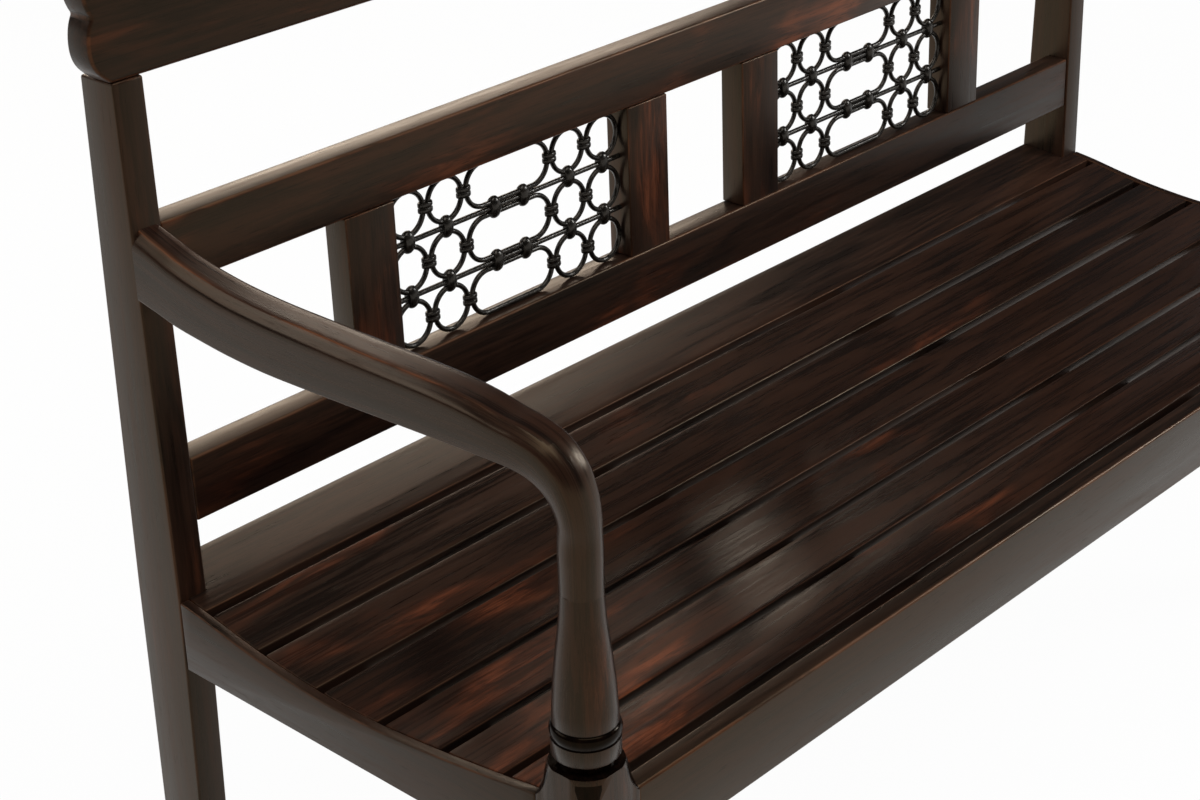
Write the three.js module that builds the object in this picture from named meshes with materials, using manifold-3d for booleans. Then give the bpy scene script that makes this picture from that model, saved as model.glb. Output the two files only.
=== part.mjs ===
// Deacons bench: a dark stained hardwood bench with a dished slatted seat, two arms that
// turn down into turned front posts, and two iron grilles in the back.
// Lengths in millimetres. X runs along the bench, the front faces -Y and Z is up.
// The origin is on the floor, under the middle of the bench.
import * as THREE from 'three';
import { mergeVertices } from 'three/addons/utils/BufferGeometryUtils.js';
import Module from 'manifold-3d';

// Main sizes
const benchLength = 1480;
const seatRun = 504.4;
const rearReach = 66;
const seatHeight = 450;
const gap = 0.3;

// Rear posts, sawn from board, leaning back above the seat
const postWidth = 31.5;
const postTopDepth = 44;
const postSeatDepth = 61.5;
const postFootDepth = 53;
const legSetback = 13;
const backLeanShare = 0.017;
const legCurveShares = [[0, 0], [0.2, 0.13], [0.5, 0.45], [0.75, 0.72], [1, 1]];

// Back frame between the rear posts
const frameInset = 1.4;
const backStock = 30;
const lowerRailRise = 69.5;
const lowerRailWidth = 63;
const upperRailRise = 296.5;
const upperRailWidth = 61.5;
const stileWidth = 61;
const middleWindow = 122.3;

// Crest rail over the posts, its ends cut in two lobes
const crestRise = 489;
const crestHeight = 114;
const crestOverhang = 17.8;
const crestTenonWidth = 18;
const crestTenonLength = 30;
const lobeShares = [
  [0, 0], [0.2, 0.025], [0.42, 0.055], [0.66, 0.095], [0.85, 0.145], [0.96, 0.2], [1, 0.27],
  [0.97, 0.34], [0.88, 0.41], [0.76, 0.46], [0.62, 0.5],
];

// Iron grilles of bent bar
const barDiameter = 5.4;
const grilleSetback = 14.5;
const ovalRun = 119.5;
const collarHeight = 23.5;
const collarDepth = 12.5;
const collarLength = 11.5;
const clampWidth = 18;
const clampDepth = 10.6;
const clampHeight = 11;
const barrelEndShare = 0.78;
const barrelFlatShare = 0.45;
const ovalCollarShare = 0.34;
const rodEntry = 12;
const ringSteps = 12;
const ovalSteps = 14;
const barSides = 6;
const collarSides = 8;

// Seat: slats across a dish, from the post fronts to the front rail
const dishDepth = 24;
const seatSteps = 14;
const slatSteps = 3;
const slatThickness = 18;
const slotWidth = 9.5;
const frontSlotWidth = 8;
const slatArris = 1.5;
const seatRimWidth = 10;
const rearBoardReach = 60;
const slotCentreShares = [0.0575, 0.1983, 0.3489, 0.5036, 0.6562, 0.801];
const dishRunShares = [
  -0.12, -0.06, 0, 0.06, 0.12, 0.2, 0.28, 0.36, 0.43, 0.51, 0.6, 0.7, 0.8, 0.88, 0.94, 1,
];
const dishRiseShares = [
  0.2, 0.1, -0.02, -0.19, -0.42, -0.68, -0.86, -0.97, -0.98, -0.91, -0.74, -0.49, -0.19, 0.08, 0.15, 0.125,
];

// Rails under the seat
const railDepthBelow = 72;
const sideRailThickness = 30;
const frontRailThickness = 20;
const frontRailSetback = 2;
const frontRailRise = 3;
const rearRailThickness = 24;
const rearRailSetback = 28;
const bearerWidth = 44;
const bearerDepth = 42;
const bearerCentres = [-274, 212];

// Tenons
const tenonThickness = 10;
const tenonLength = 20;
const tenonShoulder = 9;
const blockTenonLength = 24;
const armTenonInset = 4;
const backTenonLength = 12;
const stileTenonLength = 18;
const neckTenonDiameter = 18;
const neckTenonLength = 28;

// Front posts: a square block at the rails, turned above and below
const blockWidth = 59;
const blockDrop = 96;
const turnedSides = 16;
const neckRise = 187;
// Turned radius as a share of half the block, at heights as shares of the neck height
const upperTurningShares = [
  [1, 0.59], [0.9, 0.618], [0.82, 0.67], [0.7, 0.76], [0.57, 0.843], [0.46, 0.886], [0.378, 0.905],
  [0.372, 0.885], [0.366, 0.93], [0.347, 0.97], [0.328, 0.925], [0.319, 0.968], [0.235, 0.95],
  [0.227, 0.915], [0.222, 0.81], [0.188, 0.79], [0.182, 1.04], [0.16, 1.09], [0.085, 1.18],
  [0.035, 1.29], [0.005, 1.43],
];
// The lower leg, heights as shares of the run from the block to the floor
const lowerTurningShares = [
  [0, 1.43], [0.03, 1.26], [0.07, 1.13], [0.088, 1.04], [0.095, 0.79], [0.107, 0.81], [0.11, 0.93],
  [0.155, 0.965], [0.16, 0.925], [0.172, 0.97], [0.184, 0.925], [0.188, 0.885], [0.2, 0.9],
  [0.4, 0.84], [0.6, 0.72], [0.8, 0.58], [0.885, 0.53], [0.89, 0.62], [0.92, 0.7], [0.95, 0.68], [1, 0.56],
];

// Arms: from the rear post forward, over the elbow and down to the turned neck
const armWidth = 42;
const armHeight = 50;
const armTopRise = 327;
const elbowRise = 235;
const elbowSetback = 80;
const elbowUndersideShare = 0.82;
const neckRadius = 17.4;

const halfLength = benchLength / 2;
const backY = (seatRun - rearReach) / 2;
const frameY = backY + frameInset;
const frontY = backY - seatRun;
const leanAngle = Math.atan(backLeanShare);

const wasm = await Module();
wasm.setup();

const stainedWood = () => new THREE.MeshStandardMaterial({ color: 0x2e211b, roughness: 0.38, metalness: 0 });
const blackIron = () => new THREE.MeshStandardMaterial({ color: 0x16130f, roughness: 0.45, metalness: 0.7 });

// Solids

function toSolid(geometry) {
  const bare = geometry.clone();
  bare.deleteAttribute('normal');
  bare.deleteAttribute('uv');
  const welded = mergeVertices(bare);
  const vertProperties = new Float32Array(welded.attributes.position.array);
  const triVerts = new Uint32Array(welded.index.array);
  return new wasm.Manifold(new wasm.Mesh({ numProp: 3, vertProperties, triVerts }));
}

function toGeometry(solid) {
  const mesh = solid.getMesh();
  const geometry = new THREE.BufferGeometry();
  geometry.setAttribute('position', new THREE.BufferAttribute(new Float32Array(mesh.vertProperties), 3));
  geometry.setIndex(new THREE.BufferAttribute(new Uint32Array(mesh.triVerts), 1));
  return geometry;
}

function joined(geometries) {
  let solid = toSolid(geometries[0]);
  for (const other of geometries.slice(1)) {
    solid = solid.add(toSolid(other));
  }
  return toGeometry(solid);
}

function cutBy(geometry, cutters) {
  let solid = toSolid(geometry);
  for (const cutter of cutters) {
    solid = solid.subtract(toSolid(cutter));
  }
  return toGeometry(solid);
}

function commonTo(first, second) {
  return toGeometry(toSolid(first).intersect(toSolid(second)));
}

function mirroredAcross(geometry) {
  const copy = mergeVertices(strip(geometry));
  copy.scale(-1, 1, 1);
  const index = copy.index;
  for (let corner = 0; corner < index.count; corner += 3) {
    const first = index.getX(corner);
    index.setX(corner, index.getX(corner + 1));
    index.setX(corner + 1, first);
  }
  return copy;
}

function strip(geometry) {
  const bare = geometry.clone();
  bare.deleteAttribute('normal');
  bare.deleteAttribute('uv');
  return bare;
}

function box(x, y, z) {
  const geometry = new THREE.BoxGeometry(x[1] - x[0], y[1] - y[0], z[1] - z[0]);
  geometry.translate((x[0] + x[1]) / 2, (y[0] + y[1]) / 2, (z[0] + z[1]) / 2);
  return geometry;
}

// An outline of [y, z] points drawn out along X
function outlineAlongX(points, x) {
  const shape = new THREE.Shape(points.map(([y, z]) => new THREE.Vector2(y, z)));
  const geometry = new THREE.ExtrudeGeometry(shape, { depth: x[1] - x[0], bevelEnabled: false });
  geometry.applyMatrix4(new THREE.Matrix4().set(0, 0, 1, x[0], 1, 0, 0, 0, 0, 1, 0, 0, 0, 0, 0, 1));
  return geometry;
}

// An outline of [x, z] points drawn out along Y
function outlineAlongY(points, y) {
  const shape = new THREE.Shape(points.map(([x, z]) => new THREE.Vector2(x, z)));
  const geometry = new THREE.ExtrudeGeometry(shape, { depth: y[1] - y[0], bevelEnabled: false });
  geometry.rotateX(Math.PI / 2);
  geometry.translate(0, y[1], 0);
  return geometry;
}

// The back is drawn upright, then leant back about the post fronts at the seat
function leant(geometry) {
  geometry.translate(0, -backY, -seatHeight);
  geometry.rotateX(-leanAngle);
  geometry.translate(0, backY, seatHeight);
  return geometry;
}

function turning(profile, sides) {
  const points = profile.map(([radius, height]) => new THREE.Vector2(radius, height));
  const geometry = new THREE.LatheGeometry(points, sides);
  geometry.rotateX(Math.PI / 2);
  return geometry;
}

// Value at a position, on a smooth curve through rising positions
function smoothThrough(positions, values, position) {
  let index = positions.findIndex((value) => value > position) - 1;
  if (index < 0) {
    index = position <= positions[0] ? 0 : positions.length - 2;
  }
  const slopeAt = (place) => {
    const before = Math.max(place - 1, 0);
    const after = Math.min(place + 1, positions.length - 1);
    return (values[after] - values[before]) / (positions[after] - positions[before]);
  };
  const span = positions[index + 1] - positions[index];
  const share = Math.min(Math.max((position - positions[index]) / span, 0), 1);
  const square = share * share;
  const cube = square * share;
  return (2 * cube - 3 * square + 1) * values[index]
    + (cube - 2 * square + share) * span * slopeAt(index)
    + (3 * square - 2 * cube) * values[index + 1]
    + (cube - square) * span * slopeAt(index + 1);
}

// Height of the seat surface at a distance forward of the post fronts
function seatRise(forward) {
  return seatHeight + dishDepth * smoothThrough(dishRunShares, dishRiseShares, forward / seatRun);
}

function seatLine(from, to, steps, drop) {
  const points = [];
  for (let step = 0; step <= steps; step += 1) {
    const forward = from + (to - from) * step / steps;
    points.push([backY - forward, seatRise(forward) - drop]);
  }
  return points;
}

// Rear posts

function postOutline(extra) {
  const topY = backY + crestRise * backLeanShare;
  const top = seatHeight + crestRise * Math.cos(leanAngle) - gap;
  const points = [[topY - extra, top], [backY - extra, seatHeight]];
  for (const [dropShare, setShare] of legCurveShares.slice(1)) {
    points.push([backY + legSetback * setShare - extra, seatHeight * (1 - dropShare)]);
  }
  for (const [dropShare, setShare] of legCurveShares.slice().reverse()) {
    const rear = postSeatDepth + (legSetback + postFootDepth - postSeatDepth) * setShare;
    points.push([backY + rear, seatHeight * (1 - dropShare)]);
  }
  points.push([topY + postTopDepth + extra, top - (postTopDepth + extra) * backLeanShare]);
  return points;
}

function rearPost() {
  const outer = -halfLength;
  const inner = outer + postWidth;
  const blank = outlineAlongX(postOutline(0), [outer, inner]);
  const tenon = crestPostTenon(0);
  const post = joined([blank, tenon]);
  return cutBy(post, [
    backTenon(lowerRailRise, lowerRailWidth, gap),
    backTenon(upperRailRise, upperRailWidth, gap),
    armTenon(gap),
    sideRailRearTenon(gap),
    rearRailTenon(gap),
  ]);
}

function crestPostTenon(extra) {
  const middle = -halfLength + postWidth / 2;
  const half = crestTenonWidth / 2;
  const y = backY + backStock / 2;
  const bottom = seatHeight + crestRise - 2 * tenonShoulder;
  return leant(box(
    [middle - half - extra, middle + half + extra],
    [y - tenonThickness / 2 - extra, y + tenonThickness / 2 + extra],
    [bottom, seatHeight + crestRise + crestTenonLength + extra],
  ));
}

// Back rails, stiles and crest

function backTenon(rise, width, extra) {
  const inner = -halfLength + postWidth;
  const y = frameY + backStock / 2;
  return leant(box(
    [inner - backTenonLength - extra, inner + tenonShoulder],
    [y - tenonThickness / 2 - extra, y + tenonThickness / 2 + extra],
    [seatHeight + rise + tenonShoulder - extra, seatHeight + rise + width - tenonShoulder + extra],
  ));
}

function stileCentres() {
  const inner = middleWindow / 2 + stileWidth / 2;
  const outer = inner + stileWidth + grilleOpening();
  return [-outer, -inner, inner, outer];
}

function stileTenon(centre, joint, extra) {
  const half = stileWidth / 2 - tenonShoulder;
  const y = frameY + backStock / 2;
  return leant(box(
    [centre - half - extra, centre + half + extra],
    [y - tenonThickness / 2 - extra, y + tenonThickness / 2 + extra],
    [joint - stileTenonLength - extra, joint + stileTenonLength + extra],
  ));
}

function backRail(rise, width, joint) {
  const end = halfLength - postWidth - gap;
  const body = leant(box(
    [-end, end],
    [frameY, frameY + backStock],
    [seatHeight + rise, seatHeight + rise + width],
  ));
  const tenon = backTenon(rise, width, 0);
  const rail = joined([body, tenon, mirroredAcross(tenon)]);
  return cutBy(rail, stileCentres().map((centre) => stileTenon(centre, joint, gap)));
}

const lowerJoint = () => seatHeight + lowerRailRise + lowerRailWidth;
const upperJoint = () => seatHeight + upperRailRise;

function backStile(centre, grilleSides) {
  const body = leant(box(
    [centre - stileWidth / 2, centre + stileWidth / 2],
    [frameY, frameY + backStock],
    [lowerJoint() + gap, upperJoint() - gap],
  ));
  const lowerTenon = stileTenon(centre, lowerJoint(), 0);
  const upperTenon = stileTenon(centre, upperJoint(), 0);
  const stile = joined([body, lowerTenon, upperTenon]);
  const holes = [];
  for (const side of grilleSides) {
    for (const height of rodHeights()) {
      holes.push(rodSocket(centre + side * stileWidth / 2, height));
    }
  }
  return cutBy(stile, holes);
}

function crestRail() {
  const bottom = seatHeight + crestRise;
  const points = [];
  const lobe = lobeShares.map(([out, up]) => [halfLength + crestOverhang * out, bottom + crestHeight * up]);
  const upper = lobeShares.slice(0, -1).reverse()
    .map(([out, up]) => [halfLength + crestOverhang * out, bottom + crestHeight * (1 - up)]);
  points.push(...lobe, ...upper);
  for (const [x, z] of points.slice().reverse()) {
    points.push([-x, z]);
  }
  const body = leant(outlineAlongY(points, [backY, backY + backStock]));
  const socket = crestPostTenon(gap);
  return cutBy(body, [socket, mirroredAcross(socket)]);
}

// Grilles

const loopHeight = () => (upperJoint() - lowerJoint() - 2 * barDiameter - 6 * gap) / 3;
const grilleOpening = () => ovalRun + 4 * loopHeight() + 6 * gap;

function rodHeights() {
  const first = lowerJoint() + loopHeight() + 2 * gap + barDiameter / 2;
  return [first, first + loopHeight() + 2 * gap + barDiameter];
}

function rowHeights() {
  const first = lowerJoint() + gap + loopHeight() / 2;
  const step = loopHeight() + 2 * gap + barDiameter;
  return [first, first + step, first + 2 * step];
}

// Centres of the five loops, from the middle of a grille
function loopCentres() {
  const oval = ovalRun / 2 + gap + loopHeight() / 2;
  const next = oval + loopHeight() + gap;
  return [-next, -oval, 0, oval, next];
}

function loopRing(length, thickness) {
  const steps = length > loopHeight() ? ovalSteps : ringSteps;
  const radius = (loopHeight() - barDiameter) / 2;
  const ring = new THREE.TorusGeometry(radius, thickness / 2, barSides, steps);
  ring.rotateX(Math.PI / 2);
  const stretch = (length - loopHeight()) / 2;
  const position = ring.attributes.position;
  for (let vertex = 0; vertex < position.count; vertex += 1) {
    position.setX(vertex, position.getX(vertex) + Math.sign(position.getX(vertex)) * stretch);
  }
  return ring;
}

function rowRings(middle, height, thickness) {
  return loopCentres().map((centre, place) => {
    const ring = loopRing(place === 2 ? ovalRun : loopHeight(), thickness);
    ring.translate(middle + centre, frameY + grilleSetback, height);
    return ring;
  });
}

function barrel(radius, length) {
  const half = length / 2;
  const end = radius * barrelEndShare;
  const flat = half * barrelFlatShare;
  const profile = [[0, -half], [end, -half], [radius, -flat], [radius, flat], [end, half], [0, half]];
  return turning(profile, collarSides);
}

function loopRow(middle, height) {
  const pieces = rowRings(middle, height, barDiameter);
  const centres = loopCentres();
  for (const place of [0, 1, 2, 3]) {
    const spread = place === 2 ? ovalRun / 2 : loopHeight() / 2;
    const clamp = barrel(clampWidth / 2, clampHeight);
    clamp.scale(1, clampDepth / clampWidth, 1);
    clamp.translate(middle + centres[place] + spread + gap / 2, frameY + grilleSetback, height);
    pieces.push(clamp);
  }
  return leant(joined(pieces));
}

function rodSocket(x, height) {
  const socket = new THREE.CylinderGeometry(
    barDiameter / 2 + gap, barDiameter / 2 + gap, 2 * (rodEntry + gap), barSides * 2);
  socket.rotateZ(Math.PI / 2);
  socket.translate(x, frameY + grilleSetback, height);
  return leant(socket);
}

function collarPlaces() {
  const [outerLeft, innerLeft, , innerRight, outerRight] = loopCentres();
  const onOval = ovalRun * ovalCollarShare / 2;
  return [outerLeft, innerLeft, -onOval, onOval, innerRight, outerRight];
}

function grilleRod(middle, place) {
  const height = rodHeights()[place];
  const length = grilleOpening() + 2 * rodEntry;
  const rod = new THREE.CylinderGeometry(barDiameter / 2, barDiameter / 2, length, barSides * 2);
  rod.rotateZ(Math.PI / 2);
  rod.translate(middle, frameY + grilleSetback, height);
  const pieces = [rod];
  for (const centre of collarPlaces()) {
    const collar = barrel(collarHeight / 2, collarLength);
    collar.rotateY(Math.PI / 2);
    collar.scale(1, collarDepth / collarHeight, 1);
    collar.translate(middle + centre, frameY + grilleSetback, height);
    pieces.push(collar);
  }
  const neighbours = [rowHeights()[place], rowHeights()[place + 1]];
  const loops = neighbours.flatMap((row) => rowRings(middle, row, barDiameter + 2 * gap));
  return leant(cutBy(joined(pieces), loops));
}

// Seat

function slatBlank(from, to, x) {
  const top = seatLine(from + slatArris, to - slatArris, slatSteps, 0);
  const bottom = seatLine(from, to, slatSteps, slatThickness).reverse();
  const points = [
    [backY - from, seatRise(from) - slatArris], ...top, [backY - to, seatRise(to) - slatArris], ...bottom,
  ];
  return outlineAlongX(points.reverse(), x);
}

function seatSlat(place) {
  const from = slotCentreShares[place] * seatRun + slotWidth / 2;
  const isFront = place === slotCentreShares.length - 1;
  const frontEdge = seatRun - frontRailSetback - frontRailThickness - frontSlotWidth;
  const to = isFront ? frontEdge : slotCentreShares[place + 1] * seatRun - slotWidth / 2;
  const end = halfLength - seatRimWidth - gap;
  const slat = slatBlank(from, to, [-end, end]);
  return isFront ? cutBy(slat, [postBlockSpace(-1), postBlockSpace(1)]) : slat;
}

function postBlockSpace(side) {
  const outer = halfLength + gap;
  const inner = halfLength - blockWidth - gap;
  const x = side < 0 ? [-outer, -inner] : [inner, outer];
  return box(x, [frontY - gap, frontY + blockWidth + gap], [0, seatHeight + neckRise]);
}

function rearBoard() {
  const to = slotCentreShares[0] * seatRun - slotWidth / 2;
  const end = halfLength - seatRimWidth - gap;
  const board = slatBlank(-rearBoardReach, to, [-end, end]);
  const space = outlineAlongX(postOutline(gap), [-halfLength - gap, -halfLength + postWidth + gap]);
  return cutBy(board, [space, mirroredAcross(space)]);
}

// Rails under the seat

const railBottom = () => seatHeight - railDepthBelow;

function sideRailRearTenon(extra) {
  const middle = -halfLength + postWidth / 2;
  return box(
    [middle - tenonThickness / 2 - extra, middle + tenonThickness / 2 + extra],
    [backY - tenonShoulder, backY + tenonLength + extra],
    [railBottom() + tenonShoulder - extra, seatHeight - slatThickness - tenonShoulder + extra],
  );
}

function sideRailFrontTenon(extra) {
  const middle = -halfLength + postWidth / 2;
  const rear = frontY + blockWidth;
  return box(
    [middle - tenonThickness / 2 - extra, middle + tenonThickness / 2 + extra],
    [rear - blockTenonLength - extra, rear + tenonShoulder],
    [railBottom() + tenonShoulder - extra, seatHeight - slatThickness - tenonShoulder + extra],
  );
}

function sideRail() {
  const front = seatRun - blockWidth - gap;
  const outer = -halfLength;
  const below = [[backY - front, railBottom()], [backY - gap, railBottom()]];
  const rim = outlineAlongX([...below, ...seatLine(gap, front, seatSteps, 0)], [outer, outer + seatRimWidth]);
  const ledge = outlineAlongX(
    [...below, ...seatLine(gap, front, seatSteps, slatThickness + gap)],
    [outer + seatRimWidth / 2, outer + sideRailThickness],
  );
  const post = outlineAlongX(postOutline(gap), [outer - gap, outer + postWidth + gap]);
  const body = cutBy(joined([rim, ledge]), [post]);
  return joined([body, sideRailRearTenon(0), sideRailFrontTenon(0)]);
}

function frontRailTenon(extra) {
  const inner = -halfLength + blockWidth;
  const y = frontY + frontRailSetback + frontRailThickness / 2;
  return box(
    [inner - blockTenonLength - extra, inner + tenonShoulder],
    [y - tenonThickness / 2 - extra, y + tenonThickness / 2 + extra],
    [railBottom() + tenonShoulder - extra, seatHeight + frontRailRise - tenonShoulder * 2 + extra],
  );
}

function frontRail() {
  const end = halfLength - blockWidth - gap;
  const front = frontY + frontRailSetback;
  const top = seatHeight + frontRailRise;
  const body = box([-end, end], [front, front + frontRailThickness], [railBottom(), top]);
  const tenon = frontRailTenon(0);
  return joined([body, tenon, mirroredAcross(tenon)]);
}

function rearRailTenon(extra) {
  const inner = -halfLength + postWidth;
  const y = backY + rearRailSetback + rearRailThickness / 2;
  return box(
    [inner - tenonLength - extra, inner + tenonShoulder],
    [y - tenonThickness / 2 - extra, y + tenonThickness / 2 + extra],
    [railBottom() + tenonShoulder - extra, seatHeight - slatThickness - tenonShoulder + extra],
  );
}

function rearRail() {
  const end = halfLength - postWidth - gap;
  const near = -rearRailSetback;
  const far = near - rearRailThickness;
  const outline = [
    [backY - near, railBottom()], [backY - far, railBottom()],
    ...seatLine(far, near, slatSteps, slatThickness + gap),
  ];
  const body = outlineAlongX(outline, [-end, end]);
  const tenon = rearRailTenon(0);
  return joined([body, tenon, mirroredAcross(tenon)]);
}

function bearer(centre, front) {
  const rear = -rearRailSetback + gap;
  const top = seatLine(rear, front, seatSteps, slatThickness + gap);
  const bottom = seatHeight - slatThickness - bearerDepth;
  const outline = [[backY - front, bottom], [backY - rear, bottom], ...top];
  return outlineAlongX(outline, [centre - bearerWidth / 2, centre + bearerWidth / 2]);
}

function middleBearer(centre) {
  return bearer(centre, seatRun - frontRailSetback - frontRailThickness - gap);
}

function endBearer() {
  const outer = -halfLength + Math.max(sideRailThickness, postWidth) + gap;
  return bearer(outer + bearerWidth / 2, seatRun - blockWidth - gap);
}

// Front posts

function frontPost() {
  const half = blockWidth / 2;
  const top = seatHeight + neckRise;
  const blockBottom = seatHeight - blockDrop;
  const profile = [[0, 0]];
  for (const [dropShare, radiusShare] of lowerTurningShares.slice().reverse()) {
    profile.push([half * radiusShare, blockBottom * (1 - dropShare)]);
  }
  for (const [riseShare, radiusShare] of upperTurningShares.slice().reverse()) {
    profile.push([half * radiusShare, seatHeight + neckRise * riseShare]);
  }
  profile.push([0, top]);
  const turned = turning(profile, turnedSides);
  const square = box([-half, half], [-half, half], [-gap, top + gap]);
  const post = commonTo(turned, square);
  post.translate(-halfLength + half, frontY + half, 0);
  return cutBy(joined([post, neckTenon(0)]), [sideRailFrontTenon(gap), frontRailTenon(gap)]);
}

function neckTenon(extra) {
  const bottom = seatHeight + neckRise - neckTenonLength / 2;
  const top = seatHeight + neckRise + neckTenonLength + extra;
  const radius = neckTenonDiameter / 2 + extra;
  const tenon = turning([[0, bottom], [radius, bottom], [radius, top], [0, top]], turnedSides / 2);
  tenon.translate(-halfLength + blockWidth / 2, frontY + blockWidth / 2, 0);
  return tenon;
}

// Arms

// The arm's section, [across, up] as shares of half its width and half its height
const armSectionShares = [
  [-1, -1], [-1, -0.3], [-1, 0.5], [-0.96, 0.66], [-0.77, 0.81], [-0.5, 1], [0.02, 0.99], [0.4, 0.965],
  [0.75, 0.92], [0.93, 0.82], [1, 0.6], [1, -0.25], [0.985, -0.85], [0.85, -0.985], [0.2, -1], [-0.5, -1],
];

// Stations along the arm: the run forward as a share of the seat run, bottom and top as shares
// of the arm height, width and outer setback as shares of the arm width, then how round it is
const armStationShares = [
  [-0.02, 0.42, 1.7, 0.715, 0, 0], [0.034, 0.28, 1.49, 0.75, 0, 0], [0.08, 0.18, 1.34, 0.775, 0, 0],
  [0.14, 0.11, 1.21, 0.81, 0, 0], [0.21, 0.05, 1.11, 0.845, 0, 0], [0.3, 0.02, 1.05, 0.88, 0, 0],
  [0.4, 0.045, 1.03, 0.915, 0, 0], [0.51, 0.09, 1.015, 0.95, 0, 0], [0.62, 0.139, 1.02, 0.965, 0, 0],
  [0.7, 0.169, 1.016, 0.965, 0, 0.02], [0.77, 0.181, 0.97, 0.955, 0.01, 0.06],
  [0.82, 0.182, 0.888, 0.945, 0.025, 0.11],
];
// Stations round the elbow: the share of the turn, how far the underside and the top have moved
// from the arm's lines to the neck's, then width, outer setback and roundness
const elbowShares = [
  [0.1, 0.05, 0.311, 0.93, 0.05, 0.2], [0.28, 0.073, 0.311, 0.91, 0.085, 0.34],
  [0.46, 0.162, 0.448, 0.885, 0.13, 0.5], [0.64, 0.38, 0.689, 0.86, 0.18, 0.68],
  [0.82, 0.654, 0.905, 0.84, 0.235, 0.86], [1, 1, 1, 0.83, 0.285, 1],
];
// Stations down the neck: the share of the drop to the joint, and of the neck radius
const neckShares = [[0.35, 1.02], [0.7, 1.01], [1, 1]];

function armSections() {
  const axisX = -halfLength + blockWidth / 2;
  const sections = [];
  for (const [runShare, lowShare, highShare, widthShare, insetShare, roundShare] of armStationShares) {
    const low = seatHeight + armTopRise - armHeight * (1 - lowShare);
    const high = seatHeight + armTopRise - armHeight * (1 - highShare);
    const y = backY - seatRun * runShare;
    sections.push({
      centre: [y, (low + high) / 2],
      up: [0, 1],
      halfHeight: (high - low) / 2,
      halfWidth: armWidth * widthShare / 2,
      x: -halfLength + armWidth * (insetShare + widthShare / 2),
      roundShare,
    });
  }
  const pivot = [frontY + elbowSetback, seatHeight + elbowRise];
  const innerStart = armTopRise - armHeight * elbowUndersideShare - elbowRise;
  const outerStart = armTopRise - elbowRise;
  const axisDistance = elbowSetback - blockWidth / 2;
  for (const [turnShare, undersideShare, topShare, widthShare, insetShare, roundShare] of elbowShares) {
    const angle = turnShare * Math.PI / 2;
    const up = [-Math.sin(angle), Math.cos(angle)];
    const inner = innerStart + (axisDistance - neckRadius - innerStart) * undersideShare;
    const outer = outerStart + (axisDistance + neckRadius - outerStart) * topShare;
    const middle = (inner + outer) / 2;
    const halfWidth = turnShare < 1 ? armWidth * widthShare / 2 : neckRadius;
    sections.push({
      centre: [pivot[0] + up[0] * middle, pivot[1] + up[1] * middle],
      up,
      halfHeight: (outer - inner) / 2,
      halfWidth,
      x: turnShare < 1 ? -halfLength + armWidth * (insetShare + widthShare / 2) : axisX,
      roundShare,
    });
  }
  for (const [dropShare, radiusShare] of neckShares) {
    const drop = (elbowRise - neckRise - gap) * dropShare;
    sections.push({
      centre: [frontY + blockWidth / 2, seatHeight + elbowRise - drop],
      up: [-1, 0],
      halfHeight: neckRadius * radiusShare,
      halfWidth: neckRadius * radiusShare,
      x: axisX,
      roundShare: 1,
    });
  }
  return sections;
}

// A bar lofted through the sections, from an upright cylinder whose rings take them in turn
function loftedBar(sections) {
  const sides = armSectionShares.length;
  const bar = new THREE.CylinderGeometry(1, 1, sections.length - 1, sides, sections.length - 1);
  const position = bar.attributes.position;
  for (let vertex = 0; vertex < position.count; vertex += 1) {
    const across = position.getX(vertex);
    const along = position.getZ(vertex);
    const section = sections[Math.round(position.getY(vertex) + (sections.length - 1) / 2)];
    const turn = (Math.atan2(along, across) / (2 * Math.PI) + 1) % 1;
    const corner = Math.round(turn * sides) % sides;
    const reach = Math.round(Math.hypot(across, along));
    const [squareAcross, squareUp] = armSectionShares[corner];
    const angle = Math.atan2(squareUp, squareAcross);
    const share = section.roundShare;
    const acrossShare = squareAcross * (1 - share) + Math.cos(angle) * share;
    const upShare = squareUp * (1 - share) + Math.sin(angle) * share;
    const lift = section.halfHeight * upShare * reach;
    position.setXYZ(
      vertex,
      section.x + section.halfWidth * acrossShare * reach,
      section.centre[0] + section.up[0] * lift,
      section.centre[1] + section.up[1] * lift,
    );
  }
  return bar;
}

function armTenon(extra) {
  const outer = -halfLength + armTenonInset;
  const top = seatHeight + armTopRise;
  return box(
    [outer - extra, outer + tenonThickness + extra],
    [backY - tenonShoulder, backY + tenonLength + tenonShoulder + extra],
    [top - armHeight / 2 - extra, top + tenonShoulder + extra],
  );
}

function arm() {
  const bar = loftedBar(armSections());
  const post = outlineAlongX(postOutline(gap), [-halfLength - armWidth, -halfLength + 2 * armWidth]);
  const body = cutBy(bar, [post, neckTenon(gap)]);
  return joined([body, armTenon(0)]);
}

// The bench

const bench = new THREE.Group();

function place(name, geometry, material) {
  const mesh = new THREE.Mesh(geometry, material);
  mesh.name = name;
  bench.add(mesh);
}

function placePair(name, geometry) {
  place(`${name}_left`, geometry, stainedWood());
  place(`${name}_right`, mirroredAcross(geometry), stainedWood());
}

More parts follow.
